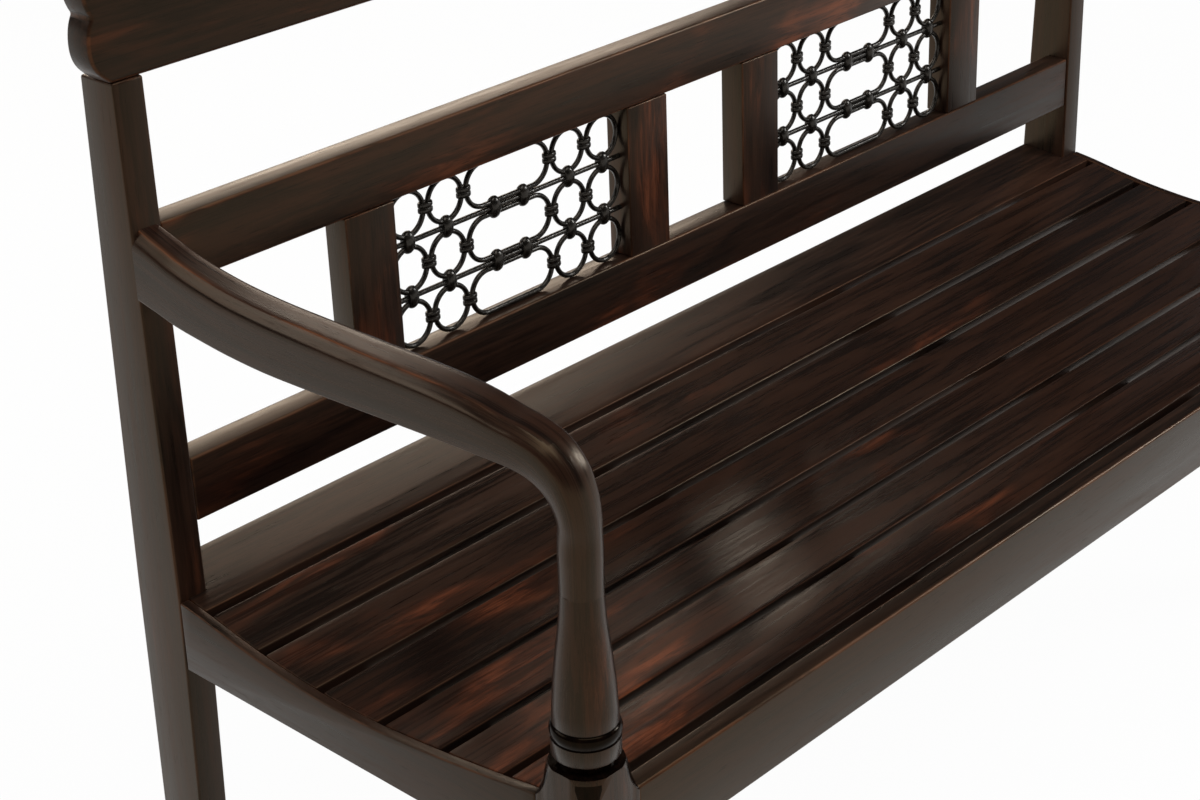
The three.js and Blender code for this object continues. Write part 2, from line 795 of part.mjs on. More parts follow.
placePair('rear_post', rearPost());
placePair('front_post', frontPost());
placePair('arm', arm());
placePair('side_rail', sideRail());
placePair('end_bearer', endBearer());
place('front_rail', frontRail(), stainedWood());
place('rear_rail', rearRail(), stainedWood());
bearerCentres.forEach((centre, index) => {
  place(`middle_bearer_${index + 1}`, middleBearer(centre), stainedWood());
});
place('crest_rail', crestRail(), stainedWood());
place('upper_back_rail', backRail(upperRailRise, upperRailWidth, upperJoint()), stainedWood());
place('lower_back_rail', backRail(lowerRailRise, lowerRailWidth, lowerJoint()), stainedWood());
const grilleSidesByStile = [[1], [-1], [1], [-1]];
stileCentres().forEach((centre, index) => {
  place(`back_stile_${index + 1}`, backStile(centre, grilleSidesByStile[index]), stainedWood());
});
place('rear_seat_board', rearBoard(), stainedWood());
slotCentreShares.forEach((share, index) => place(`seat_slat_${index + 1}`, seatSlat(index), stainedWood()));

const grilleMiddle = middleWindow / 2 + stileWidth + grilleOpening() / 2;
for (const [side, name] of [[-1, 'left'], [1, 'right']]) {
  const middle = side * grilleMiddle;
  rowHeights().forEach((height, index) => {
    place(`grille_${name}_loops_${index + 1}`, loopRow(middle, height), blackIron());
  });
  rodHeights().forEach((height, index) => {
    place(`grille_${name}_rod_${index + 1}`, grilleRod(middle, index), blackIron());
  });
}

export default bench;
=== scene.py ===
# Deacons bench: dark stained wood, a dished slatted seat, bent arms on turned posts, iron grilles.
# Lengths are in metres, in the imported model's frame. The front faces -Y and Z is up.
import math

import bpy
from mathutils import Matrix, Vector


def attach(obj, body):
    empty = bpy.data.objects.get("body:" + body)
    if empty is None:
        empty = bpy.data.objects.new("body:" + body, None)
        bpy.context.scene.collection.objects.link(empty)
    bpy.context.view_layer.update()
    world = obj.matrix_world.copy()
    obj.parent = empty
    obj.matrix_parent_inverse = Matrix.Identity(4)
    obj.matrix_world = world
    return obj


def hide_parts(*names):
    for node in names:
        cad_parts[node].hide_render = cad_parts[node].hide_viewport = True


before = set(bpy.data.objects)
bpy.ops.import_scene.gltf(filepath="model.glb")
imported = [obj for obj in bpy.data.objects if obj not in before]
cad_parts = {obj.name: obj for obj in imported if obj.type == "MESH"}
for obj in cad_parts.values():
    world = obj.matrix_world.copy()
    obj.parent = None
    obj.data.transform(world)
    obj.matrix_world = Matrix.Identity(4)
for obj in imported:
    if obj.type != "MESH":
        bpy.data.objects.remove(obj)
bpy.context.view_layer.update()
print("frame loaded")

# Sizes that several pieces share
bench = {
    "halfLength": 0.74,
    "backY": 0.2192,  # fronts of the rear posts at the seat
    "seatRun": 0.5044,
    "seatHeight": 0.45,
    "crestRise": 0.489,  # from the seat to the crest rail
    "lean": math.atan(0.017),
    "postWidth": 0.0315,
    "blockWidth": 0.059,
    "slatThickness": 0.018,
    "rimWidth": 0.010,
    "railBottom": 0.378,
    "gap": 0.0003,
    "overrun": 0.01,  # how far a cutter reaches past what it cuts
}
bench["frontY"] = bench["backY"] - bench["seatRun"]


# Small helps

def clearSelection():
    if bpy.context.object and bpy.context.object.mode != "OBJECT":
        bpy.ops.object.mode_set(mode="OBJECT")
    bpy.ops.object.select_all(action="DESELECT")


def namePiece(name):
    piece = bpy.context.object
    piece.name = name
    piece.data.name = name
    return piece


def makeActive(piece):
    clearSelection()
    piece.select_set(True)
    bpy.context.view_layer.objects.active = piece


def editPiece(piece):
    makeActive(piece)
    bpy.ops.object.mode_set(mode="EDIT")
    bpy.ops.mesh.select_all(action="SELECT")


def leaveEdit():
    bpy.ops.object.mode_set(mode="OBJECT")


def turnFacesOut():
    bpy.ops.mesh.select_all(action="SELECT")
    bpy.ops.mesh.normals_make_consistent(inside=False)
    leaveEdit()


def movePiece(piece, travel):
    editPiece(piece)
    bpy.ops.transform.translate(value=travel)
    leaveEdit()


def joinPieces(name, pieces):
    clearSelection()
    for piece in pieces:
        piece.select_set(True)
    bpy.context.view_layer.objects.active = pieces[0]
    if len(pieces) > 1:
        bpy.ops.object.join()
    return namePiece(name)


def leanBack(piece):
    # the back is made upright, then leant about the post fronts at the seat
    editPiece(piece)
    bpy.ops.transform.rotate(
        value=bench["lean"], orient_axis="X",
        center_override=(0, bench["backY"], bench["seatHeight"]),
    )
    leaveEdit()


def mirrorCopy(piece, name):
    makeActive(piece)
    bpy.ops.object.duplicate()
    copy = namePiece(name)
    editPiece(copy)
    bpy.ops.transform.resize(value=(-1, 1, 1), center_override=(0, 0, 0))
    bpy.ops.mesh.flip_normals()
    leaveEdit()
    return copy


def applyModifier(piece, kind, **settings):
    makeActive(piece)
    bpy.ops.object.modifier_add(type=kind)
    modifier = piece.modifiers[-1]
    for key, value in settings.items():
        setattr(modifier, key, value)
    bpy.ops.object.modifier_apply(modifier=modifier.name)


def combine(piece, other, operation):
    # cuts one piece with another, or joins them, and takes the other away
    applyModifier(piece, "BOOLEAN", object=other, operation=operation, solver="EXACT")
    bpy.data.objects.remove(other)


def smoothPiece(piece, degrees=40):
    makeActive(piece)
    bpy.ops.object.shade_smooth_by_angle(angle=math.radians(degrees))


def softenEdges(piece, width, segments=3, angle=30):
    # rounds the edges, and marks the rounding in the wear attribute, which the finish reads
    piece.data.materials.append(None)
    piece.data.materials.append(None)
    applyModifier(
        piece, "BEVEL", width=width, segments=segments, limit_method="ANGLE",
        angle_limit=math.radians(angle), material=1, use_clamp_overlap=False,
    )
    touched = {}
    for face in piece.data.polygons:
        for vertex in face.vertices:
            touched.setdefault(vertex, []).append(face.material_index)
        face.material_index = min(face.material_index, 0)
    piece.data.materials.clear()
    wear = piece.data.attributes.new("wear", "FLOAT", "POINT")
    for vertex, indices in touched.items():
        wear.data[vertex].value = min(indices)


facings = {"front": (0, -1, 0), "top": (0, 0, 1)}


def finishPiece(piece, material, node):
    piece.data.materials.clear()
    piece.data.materials.append(material)
    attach(piece, "root")
    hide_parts(node)


def paintFacingShading(piece, material, facing, share):
    # a second finish on the faces that look one way, painting light and shade onto them with its own tone
    # and strength of reflection, where share says how squarely
    piece.data.materials.append(material)
    for face in piece.data.polygons:
        face.material_index = int(face.normal.dot(Vector(facings[facing])) > share)


def finishWood(piece, node, along, shift, look, facing=None, facingShadingLook=None, facingShare=0.7):
    finishPiece(piece, makeWood(f"{node}_stain", along, shift, look), node)
    # a facing finish paints light and shade on the faces that look one way
    if facing:
        facingShadingStain = makeWood(f"{node}_{facing}_stain", along, shift, facingShadingLook)
        paintFacingShading(piece, facingShadingStain, facing, facingShare)


def smoothCurve(positions, values, place):
    # value at a place, on a smooth curve through rising positions
    last = len(positions) - 1
    index = 0
    while index < last - 1 and place >= positions[index + 1]:
        index += 1

    def slope(at):
        before, after = max(at - 1, 0), min(at + 1, last)
        return (values[after] - values[before]) / (positions[after] - positions[before])

    span = positions[index + 1] - positions[index]
    share = min(max((place - positions[index]) / span, 0), 1)
    square, cube = share ** 2, share ** 3
    return (
        (2 * cube - 3 * square + 1) * values[index]
        + (cube - 2 * square + share) * span * slope(index)
        + (3 * square - 2 * cube) * values[index + 1]
        + (cube - square) * span * slope(index + 1)
    )


# Finishes

nodeLayout = {"columns": 6, "width": 220, "height": 300}


def fillSockets(tree, node, values):
    # by name or number: a number, a colour, a vector or another node's output
    for key, value in values.items():
        socket = node.inputs[key]
        if isinstance(value, bpy.types.NodeSocket):
            tree.links.new(value, socket)
        else:
            socket.default_value = (*value, 1) if socket.type == "RGBA" else value


def addNode(tree, kind, values=None, **settings):
    # nodes lie in rows, in the order in which they are made
    node = tree.nodes.new(kind)
    row, column = divmod(len(tree.nodes), nodeLayout["columns"])
    node.location = (column * nodeLayout["width"], -row * nodeLayout["height"])
    for key, value in settings.items():
        setattr(node, key, value)
    fillSockets(tree, node, values or {})
    return node


def addNoise(tree, vector, scale, detail, rough, distortion=0):
    values = {"Scale": scale, "Detail": detail, "Roughness": rough, "Distortion": distortion}
    return addNode(tree, "ShaderNodeTexNoise", {"Vector": vector, **values}).outputs["Fac"]


def remap(tree, value, low, high, toLow=0, toHigh=1):
    values = {"Value": value, "From Min": low, "From Max": high, "To Min": toLow, "To Max": toHigh}
    return addNode(tree, "ShaderNodeMapRange", values, interpolation_type="SMOOTHSTEP").outputs["Result"]


def calculate(tree, operation, *values):
    return addNode(tree, "ShaderNodeMath", dict(enumerate(values)), operation=operation).outputs[0]


def shareOut(tree, first, second, secondShare):
    firstPart = calculate(tree, "MULTIPLY", first, 1 - secondShare)
    secondPart = calculate(tree, "MULTIPLY", second, secondShare)
    return calculate(tree, "ADD", firstPart, secondPart)


def mixColours(tree, amount, first, second):
    # the node's colour sockets go by number, since others have the same names
    return addNode(tree, "ShaderNodeMix", {0: amount, 6: first, 7: second}, data_type="RGBA").outputs[2]


def newMaterial(name):
    material = bpy.data.materials.new(name)
    material.use_nodes = True
    return material, material.node_tree


def finishShader(tree, look, colour, roughness, height):
    values = {"Strength": look["bumpStrength"], "Distance": look["bumpDistance"], "Height": height}
    bump = addNode(tree, "ShaderNodeBump", values)
    fillSockets(tree, tree.nodes["Principled BSDF"], {
        "Base Color": colour, "Roughness": roughness, "Normal": bump.outputs["Normal"], "IOR": look["ior"],
        "Specular IOR Level": look["level"], "Specular Tint": look["tint"],
    })


# Stained wood, its grain along X
stain = {
    # stretch along and across the grain, detail, roughness, distortion
    "noises": {
        "fibre": (5, 190, 6, 0.7, 0),
        "figure": (2.4, 26, 4, 0.62, 1.4),
        "cloud": (3.2, 13, 3, 0.55, 0.5),
        "ember": (8, 48, 4, 0.65, 0.8),
        "pores": (42, 850, 2, 0.5, 0),
    },
    "browns": ((0.008, 0.0046, 0.0036), (0.028, 0.0122, 0.0074)),
    "reds": ((0.036, 0.0108, 0.0058), (0.16, 0.045, 0.019)),
    "poreColour": (0.005, 0.0035, 0.003),
    "rubbedColour": (0.19, 0.07, 0.031),
    "figureShare": 0.55,
    "emberShare": 0.6,
    # a noise's low and high, and what they become where that isn't 0 and 1
    "brownRange": (0.4, 0.6),
    "redRange": (0.42, 0.64),
    "patchRange": (0, 0.2),
    "patchEmbers": (0.34, 0.56, 0.3, 0.95),
    "poreRange": (0.6, 0.68, 0, 0.6),
    "rubbedEmbers": (0.4, 0.58, 0.15, 1),
    "fibreSheen": (0.3, 0.7, -0.06, 0.06),
    "figureSheen": (0.3, 0.7, -0.05, 0.05),
    "poreSheen": 0.12,
    "patchStart": 0.7,
    "patchReach": 0.24,
    "fibreHeight": 0.5,
    "bumpStrength": 0.15,
    "bumpDistance": 0.0004,
    "ior": 1.5,
    "tint": (1, 0.72, 0.42),
    "shiftStep": (0.17, 0.09, 0.13),
    # what a piece's own look may change: patches, tone, rubbed edges, roughness, strength of reflection
    # the strength of reflection is set piece by piece to how bright each piece stands in the light: painted
    # light and shade
    "usual": {"patches": 0.5, "tone": 1, "rub": 0.5, "sheen": 0.34, "level": 0.5},
}


def buildStainGroup():
    # browns, red patches with brighter streaks, pores, and edges rubbed through to the wood
    group = bpy.data.node_groups.new("darkStainedWood", "ShaderNodeTree")
    sockets = group.interface
    sockets.new_socket("Vector", in_out="INPUT", socket_type="NodeSocketVector")
    for name in ("Patches", "Tone", "Rub", "Wear", "Sheen"):
        sockets.new_socket(name, in_out="INPUT", socket_type="NodeSocketFloat")
    sockets.new_socket("Color", in_out="OUTPUT", socket_type="NodeSocketColor")
    sockets.new_socket("Roughness", in_out="OUTPUT", socket_type="NodeSocketFloat")
    sockets.new_socket("Height", in_out="OUTPUT", socket_type="NodeSocketFloat")
    given = addNode(group, "NodeGroupInput")
    result = addNode(group, "NodeGroupOutput")
    noises = []
    for along, across, detail, rough, distortion in stain["noises"].values():
        values = {"Vector": given.outputs["Vector"], "Scale": (along, across, across)}
        stretched = addNode(group, "ShaderNodeMapping", values).outputs["Vector"]
        noises.append(addNoise(group, stretched, 1, detail, rough, distortion))
    fibre, figure, cloud, ember, pores = noises

    grain = shareOut(group, fibre, figure, stain["figureShare"])
    brown = mixColours(group, remap(group, grain, *stain["brownRange"]), *stain["browns"])
    glow = shareOut(group, fibre, ember, stain["emberShare"])
    red = mixColours(group, remap(group, glow, *stain["redRange"]), *stain["reds"])
    # the patches gather where the cloud is high, and the input says how much of the piece they take
    patches = given.outputs["Patches"]
    threshold = calculate(group, "MULTIPLY_ADD", patches, -stain["patchReach"], stain["patchStart"])
    patch = remap(group, calculate(group, "SUBTRACT", cloud, threshold), *stain["patchRange"])
    patch = calculate(group, "MULTIPLY", patch, remap(group, ember, *stain["patchEmbers"]))
    colour = mixColours(group, patch, brown, red)
    poreMask = remap(group, pores, *stain["poreRange"])
    colour = mixColours(group, poreMask, colour, stain["poreColour"])
    rubbed = calculate(group, "MULTIPLY", given.outputs["Wear"], given.outputs["Rub"])
    rubbed = calculate(group, "MULTIPLY", rubbed, remap(group, ember, *stain["rubbedEmbers"]))
    colour = mixColours(group, rubbed, colour, stain["rubbedColour"])
    values = {"Color": colour, "Value": given.outputs["Tone"]}
    colour = addNode(group, "ShaderNodeHueSaturation", values).outputs["Color"]

    sheen = calculate(group, "ADD", given.outputs["Sheen"], remap(group, fibre, *stain["fibreSheen"]))
    sheen = calculate(group, "ADD", sheen, remap(group, figure, *stain["figureSheen"]))
    sheen = calculate(group, "ADD", sheen, calculate(group, "MULTIPLY", poreMask, stain["poreSheen"]))
    fibreHeight = calculate(group, "MULTIPLY", fibre, stain["fibreHeight"])
    height = calculate(group, "SUBTRACT", fibreHeight, poreMask)
    fillSockets(group, result, {"Color": colour, "Roughness": sheen, "Height": height})
    return group


stainGroup = buildStainGroup()

# The turn that brings a piece's length to X
grainTurns = {"x": (0, 0, 0), "y": (0, 0, math.pi / 2), "z": (0, math.pi / 2, 0), "arm": (0, 0, 0)}


def makeWood(name, along, shift, look):
    # the shift is a piece's own place in the pattern, and a bent arm reads its grain attribute
    look = {**stain, **stain["usual"], **look}
    material, tree = newMaterial(name)
    if along == "arm":
        place = addNode(tree, "ShaderNodeAttribute", attribute_name="grain").outputs["Vector"]
    else:
        place = addNode(tree, "ShaderNodeTexCoord").outputs["Object"]
    location = [shift * step for step in stain["shiftStep"]]
    values = {"Vector": place, "Rotation": grainTurns[along], "Location": location}
    mapping = addNode(tree, "ShaderNodeMapping", values)
    wear = addNode(tree, "ShaderNodeAttribute", attribute_name="wear")
    values = {"Vector": mapping.outputs["Vector"], "Wear": wear.outputs["Fac"]}
    for socket in ("Patches", "Tone", "Rub", "Sheen"):
        values[socket] = look[socket.lower()]
    if "leftPatches" in look:
        # more patches towards the left end
        across = addNode(tree, "ShaderNodeSeparateXYZ", {"Vector": place}).outputs["X"]
        limits = (-bench["halfLength"], 0, look["leftPatches"], look["patches"])
        values["Patches"] = remap(tree, across, *limits)
    wood = addNode(tree, "ShaderNodeGroup", values, node_tree=stainGroup).outputs
    finishShader(tree, look, wood["Color"], wood["Roughness"], wood["Height"])
    return material


# Black iron: scale, detail and roughness of its noises, and what they become
iron = {
    "dents": (220, 2, 0.5),
    "scale": (900, 3, 0.6),
    "blacks": ((0.005, 0.0042, 0.0034), (0.017, 0.0135, 0.0105)),
    "blackRange": (0.4, 0.65),
    "sheen": (0.3, 0.7, 0.16, 0.34),
    "level": 0.35,
    "ior": 1.5,
    "tint": (1, 0.9, 0.78),
    "bumpStrength": 0.5,
    "bumpDistance": 0.0006,
}


def makeIron():
    material, tree = newMaterial("blackIron")
    coordinates = addNode(tree, "ShaderNodeTexCoord").outputs["Object"]
    dents = addNoise(tree, coordinates, *iron["dents"])
    scale = addNoise(tree, coordinates, *iron["scale"])
    colour = mixColours(tree, remap(tree, dents, *iron["blackRange"]), *iron["blacks"])
    finishShader(tree, iron, colour, remap(tree, scale, *iron["sheen"]), dents)
    return material


blackIron = makeIron()
print("finishes made")

# Sawn pieces: an outline across the run, drawn out along it

def sawPiece(name, outline, run, along, arris, lean=False):
    clearSelection()
    bpy.ops.mesh.primitive_circle_add(vertices=len(outline), radius=1, fill_type="NGON")
    piece = namePiece(name)
    for vertex, (first, second) in zip(piece.data.vertices, outline):
        vertex.co = (run[0], first, second) if along == "x" else (first, run[0], second)
    editPiece(piece)
    length = run[1] - run[0]
    travel = (length, 0, 0) if along == "x" else (0, length, 0)
    bpy.ops.mesh.extrude_region_move(TRANSFORM_OT_translate={"value": travel})
    turnFacesOut()
    if lean:
        leanBack(piece)
    softenEdges(piece, arris)
    smoothPiece(piece)
    return piece


def rectangle(first, second):
    return [(first[0], second[0]), (first[1], second[0]), (first[1], second[1]), (first[0], second[1])]


# Seat line, the dish across the run: shares of the run from the back, and of the depth
dish = {
    "depth": 0.024,
    "runShares": [
        -0.12, -0.06, 0, 0.06, 0.12, 0.2, 0.28, 0.36, 0.43, 0.51, 0.6, 0.7, 0.8, 0.88, 0.94, 1,
    ],
    "riseShares": [
        0.2, 0.1, -0.02, -0.19, -0.42, -0.68, -0.86, -0.97, -0.98, -0.91, -0.74, -0.49, -0.19, 0.08, 0.15,
        0.125,
    ],
}


def seatRise(forward):
    rise = smoothCurve(dish["runShares"], dish["riseShares"], forward / bench["seatRun"])
    return bench["seatHeight"] + dish["depth"] * rise


def seatLine(start, end, steps, drop=0):
    line = []
    for step in range(steps + 1):
        forward = start + (end - start) * step / steps
        line.append((bench["backY"] - forward, seatRise(forward) - drop))
    return line


# Rear posts

rearPost = {
    "topDepth": 0.044, "seatDepth": 0.0615, "footDepth": 0.053, "legSetback": 0.013, "arris": 0.0024,
    # drop as a share of the seat's height, and how far back as a share of the setback
    "legShares": [(0, 0), (0.2, 0.13), (0.5, 0.45), (0.75, 0.72), (1, 1)],
    "shifts": {"rear_post_left": 0.2, "rear_post_right": 1.3},
    "look": {"patches": 0.3, "tone": 1.25, "rub": 0.2, "level": 0.4},
    # painted shade: the front faces take a darker copy of the finish with weaker reflection
    "frontLook": {"patches": 0.4, "tone": 0.95, "rub": 0.2, "level": 0.22},
}


def makeRearPost():
    y, z, lean = bench["backY"], bench["seatHeight"], math.tan(bench["lean"])
    topY = y + bench["crestRise"] * lean
    top = z + bench["crestRise"] * math.cos(bench["lean"]) - bench["gap"]
    setback, seatDepth = rearPost["legSetback"], rearPost["seatDepth"]
    outline = [(topY, top), (y, z)]
    for drop, back in rearPost["legShares"][1:]:
        outline.append((y + setback * back, z * (1 - drop)))
    for drop, back in reversed(rearPost["legShares"]):
        depth = seatDepth + (setback + rearPost["footDepth"] - seatDepth) * back
        outline.append((y + depth, z * (1 - drop)))
    outline.append((topY + rearPost["topDepth"], top - rearPost["topDepth"] * lean))
    run = (-bench["halfLength"], bench["postWidth"] - bench["halfLength"])
    return sawPiece("rear_post_left_wood", outline, run, "x", rearPost["arris"])


leftPost = makeRearPost()
rightPost = mirrorCopy(leftPost, "rear_post_right_wood")
for piece, (node, shift) in zip((leftPost, rightPost), rearPost["shifts"].items()):
    finishWood(piece, node, "z", shift, rearPost["look"], "front", rearPost["frontLook"])
print("rear posts made")

# Back frame

backFrame = {
    "inset": 0.0014, "stock": 0.030, "arris": 0.0026, "stileArris": 0.00156,
    "lowerRise": 0.0695, "lowerWidth": 0.063, "upperRise": 0.2965, "upperWidth": 0.0615,
    "stileWidth": 0.061, "middleWindow": 0.1223, "grilleOpening": 0.3232,
    # each rail's top faces and each stile's front faces take a copy of the finish with their own tone and
    # strength of reflection: painted light and shade on those faces
    "upperLook": {"patches": 0.8, "tone": 1.45, "rub": 0.4, "level": 0.25},
    "upperTopLook": {"patches": 0.2, "tone": 1, "rub": 0.4, "level": 0.5},
    "lowerLook": {"patches": 0.7, "tone": 1, "rub": 0.4, "level": 0.13},
    "lowerTopLook": {"patches": 0.2, "tone": 0.9, "rub": 0.4, "level": 0.42},
    "stileLook": {"patches": 0.5, "tone": 1.1, "rub": 0.3, "level": 0.4},
    "stileFrontShadingLook": {"patches": 0.8, "tone": 1.2, "rub": 0.3, "level": 0.18},
    "railShifts": {"upper": 2.1, "lower": 3.4}, "stileShift": 4, "stileShiftStep": 0.7,
}


def backRange():
    front = bench["backY"] + backFrame["inset"]
    return (front, front + backFrame["stock"])


def makeBackRail(name, rise, width):
    end = bench["halfLength"] - bench["postWidth"] - bench["gap"]
    bottom = bench["seatHeight"] + rise
    outline = rectangle(backRange(), (bottom, bottom + width))
    return sawPiece(name, outline, (-end, end), "x", backFrame["arris"], lean=True)


def stileCentres():
    inner = backFrame["middleWindow"] / 2 + backFrame["stileWidth"] / 2
    outer = inner + backFrame["stileWidth"] + backFrame["grilleOpening"]
    return [-outer, -inner, inner, outer]


def makeStile(name, centre):
    bottom = bench["seatHeight"] + backFrame["lowerRise"] + backFrame["lowerWidth"] + bench["gap"]
    top = bench["seatHeight"] + backFrame["upperRise"] - bench["gap"]
    half = backFrame["stileWidth"] / 2
    outline = rectangle((centre - half, centre + half), (bottom, top))
    return sawPiece(name, outline, backRange(), "y", backFrame["stileArris"], lean=True)


for level, shift in backFrame["railShifts"].items():
    rail = makeBackRail(f"{level}_back_rail_wood", backFrame[f"{level}Rise"], backFrame[f"{level}Width"])
    looks = backFrame[f"{level}Look"], "top", backFrame[f"{level}TopLook"]
    finishWood(rail, f"{level}_back_rail", "x", shift, *looks)
for index, centre in enumerate(stileCentres()):
    stile = makeStile(f"back_stile_{index + 1}_wood", centre)
    shift = backFrame["stileShift"] + index * backFrame["stileShiftStep"]
    looks = backFrame["stileLook"], "front", backFrame["stileFrontShadingLook"]
    finishWood(stile, f"back_stile_{index + 1}", "z", shift, *looks)
print("back frame made")

# Crest rail, its ends cut in two lobes

crest = {
    "height": 0.114, "overhang": 0.0178, "arris": 0.003, "lobeSteps": 4,
    # the lower lobe: out as a share of the overhang, up as a share of the height
    "lobeShares": [
        (0, 0), (0.2, 0.025), (0.42, 0.055), (0.66, 0.095), (0.85, 0.145), (0.96, 0.2), (1, 0.27),
        (0.97, 0.34), (0.88, 0.41), (0.76, 0.46), (0.62, 0.5),
    ],
    "shift": 7.3, "look": {"patches": 0.4, "tone": 1, "rub": 0.4, "level": 0.2},
}


def makeCrest():
    bottom = bench["seatHeight"] + bench["crestRise"]
    outs, ups = zip(*crest["lobeShares"])
    lower = []
    for before, after in zip(ups, ups[1:]):
        for step in range(crest["lobeSteps"]):
            up = before + (after - before) * step / crest["lobeSteps"]
            lower.append((smoothCurve(ups, outs, up), up))
    lower.append(crest["lobeShares"][-1])
    side = lower + [(out, 1 - up) for out, up in reversed(lower[:-1])]
    edge, reach = bench["halfLength"], crest["overhang"]
    right = [(edge + reach * out, bottom + crest["height"] * up) for out, up in side]
    outline = right + [(-x, z) for x, z in reversed(right)]
    run = (bench["backY"], bench["backY"] + backFrame["stock"])
    return sawPiece("crest_rail_wood", outline, run, "y", crest["arris"], lean=True)


finishWood(makeCrest(), "crest_rail", "x", crest["shift"], crest["look"])
print("crest rail made")

# Seat boards

seat = {
    "slotWidth": 0.0095, "frontSlotWidth": 0.008, "arris": 0.0014, "rearReach": 0.060,
    "slotShares": [0.0575, 0.1983, 0.3489, 0.5036, 0.6562, 0.801],  # their middles along the run
    "railSetback": 0.002, "railThickness": 0.020, "steps": 10,
    "notchHeight": 0.4, "notchReach": 0.1,
    "rearLook": {"patches": 0.3, "tone": 1.1, "rub": 0.25, "level": 0.2},
    # painted light and shade on the slats' front faces, the walls seen down the slots: their own tone and a
    # stronger reflection than the tops
    "slotWallShadingLook": {"patches": 0, "tone": 0.8, "rub": 0.05, "level": 0.4},
    "slatLook": {"rub": 0.15, "sheen": 0.29},
    # what each slat adds, from the back; the strength of reflection falls towards the front, painted shade
    # on the front slats' reflections
    "slatLooks": [
        {"leftPatches": 0.7, "patches": 0.45, "tone": 1.1, "level": 0.17},
        {"leftPatches": 0.9, "patches": 0.45, "tone": 1.1, "level": 0.16},
        {"leftPatches": 1, "patches": 0.4, "tone": 1.1, "level": 0.12},
        {"leftPatches": 1, "patches": 0.4, "tone": 1.05, "level": 0.05},
        {"leftPatches": 1, "patches": 0.55, "tone": 1.1, "level": 0.06},
        {"leftPatches": 0.85, "patches": 0.5, "tone": 1.1, "level": 0.07},
    ],
    "shift": 9.32, "shiftStep": 1.37, "rearShift": 17.2,
}


def cutAway(piece, x, y):
    # takes an upright notch out of a board, for the post that passes it
    clearSelection()
    bpy.ops.mesh.primitive_cube_add(size=1, location=(sum(x) / 2, sum(y) / 2, bench["seatHeight"]))
    cutter = bpy.context.object
    cutter.scale = (x[1] - x[0], y[1] - y[0], seat["notchHeight"])
    combine(piece, cutter, "DIFFERENCE")


def makeSeatBoard(name, start, end, notches=()):
    top = seatLine(start, end, seat["steps"])
    bottom = seatLine(start, end, seat["steps"], bench["slatThickness"])
    side = bench["halfLength"] - bench["rimWidth"] - bench["gap"]
    board = sawPiece(name, top + list(reversed(bottom)), (-side, side), "x", seat["arris"])
    for x, y in notches:
        cutAway(board, x, y)
    smoothPiece(board)
    return board


def makeSeat():
    run, half, gap = bench["seatRun"], seat["slotWidth"] / 2, bench["gap"]
    edge = bench["halfLength"] + bench["overrun"]
    starts = [share * run + half for share in seat["slotShares"]]
    ends = [share * run - half for share in seat["slotShares"][1:]]
    ends.append(run - seat["railSetback"] - seat["railThickness"] - seat["frontSlotWidth"])
    blockY = (bench["frontY"] - bench["overrun"], bench["frontY"] + bench["blockWidth"] + gap)
    blockX = bench["halfLength"] - bench["blockWidth"] - gap
    postX = bench["halfLength"] - bench["postWidth"] - gap
    postY = (bench["backY"] - gap, bench["backY"] + seat["notchReach"])
    boards = []
    for index, (start, end) in enumerate(zip(starts, ends)):
        isFront = index == len(starts) - 1
        notches = [((-edge, -blockX), blockY), ((blockX, edge), blockY)] if isFront else []
        boards.append(makeSeatBoard(f"seat_slat_{index + 1}_wood", start, end, notches))
    notches = [((-edge, -postX), postY), ((postX, edge), postY)]
    rearEnd = seat["slotShares"][0] * run - half
    return boards, makeSeatBoard("rear_seat_board_wood", -seat["rearReach"], rearEnd, notches)


slats, rearBoard = makeSeat()
for index, (slat, slatLook) in enumerate(zip(slats, seat["slatLooks"])):
    shift = seat["shift"] + index * seat["shiftStep"]
    look = {**seat["slatLook"], **slatLook}
    finishWood(slat, f"seat_slat_{index + 1}", "x", shift, look, "front", seat["slotWallShadingLook"])
finishWood(rearBoard, "rear_seat_board", "x", seat["rearShift"], seat["rearLook"])
print("seat made")

# Rails under the seat

rails = {
    "sideThickness": 0.030, "rearSetback": 0.028, "rearThickness": 0.024, "frontRise": 0.003,
    "arris": 0.0016, "frontArris": 0.0028, "ledgeArris": 0.0008, "steps": 28,
    "sideLook": {"patches": 0.2, "tone": 1, "rub": 0.35, "level": 0.28},
    "frontLook": {"patches": 0.1, "tone": 0.9, "rub": 0.5, "level": 0.4},
    "rearLook": {"patches": 0.2, "tone": 1, "rub": 0.3},
    "bearerLook": {"patches": 0.1, "tone": 0.9, "rub": 0},
    "shifts": {"left": 19.1, "right": 20.3, "front": 21.7, "rear": 22.9, "bearers": 24.1},
    "bearers": ["end_bearer_left", "end_bearer_right", "middle_bearer_1", "middle_bearer_2"],
}


def makeSideRail():
    # a rim beside the seat, with a ledge under it
    front = bench["seatRun"] - bench["blockWidth"] - bench["gap"]
    start, bottom = bench["gap"], bench["railBottom"]
    low = [(bench["backY"] - front, bottom), (bench["backY"] - start, bottom)]
    outer = -bench["halfLength"]
    rimTop = seatLine(start, front, rails["steps"])
    rim = sawPiece("rim", low + rimTop, (outer, outer + bench["rimWidth"]), "x", rails["arris"])
    ledgeTop = seatLine(start, front, rails["steps"], bench["slatThickness"] + bench["gap"])
    ledgeRun = (outer + bench["rimWidth"] / 2, outer + rails["sideThickness"])
    ledge = sawPiece("ledge", low + ledgeTop, ledgeRun, "x", rails["ledgeArris"])
    combine(rim, ledge, "UNION")
    rim.name = "side_rail_left_wood"
    smoothPiece(rim)
    return rim


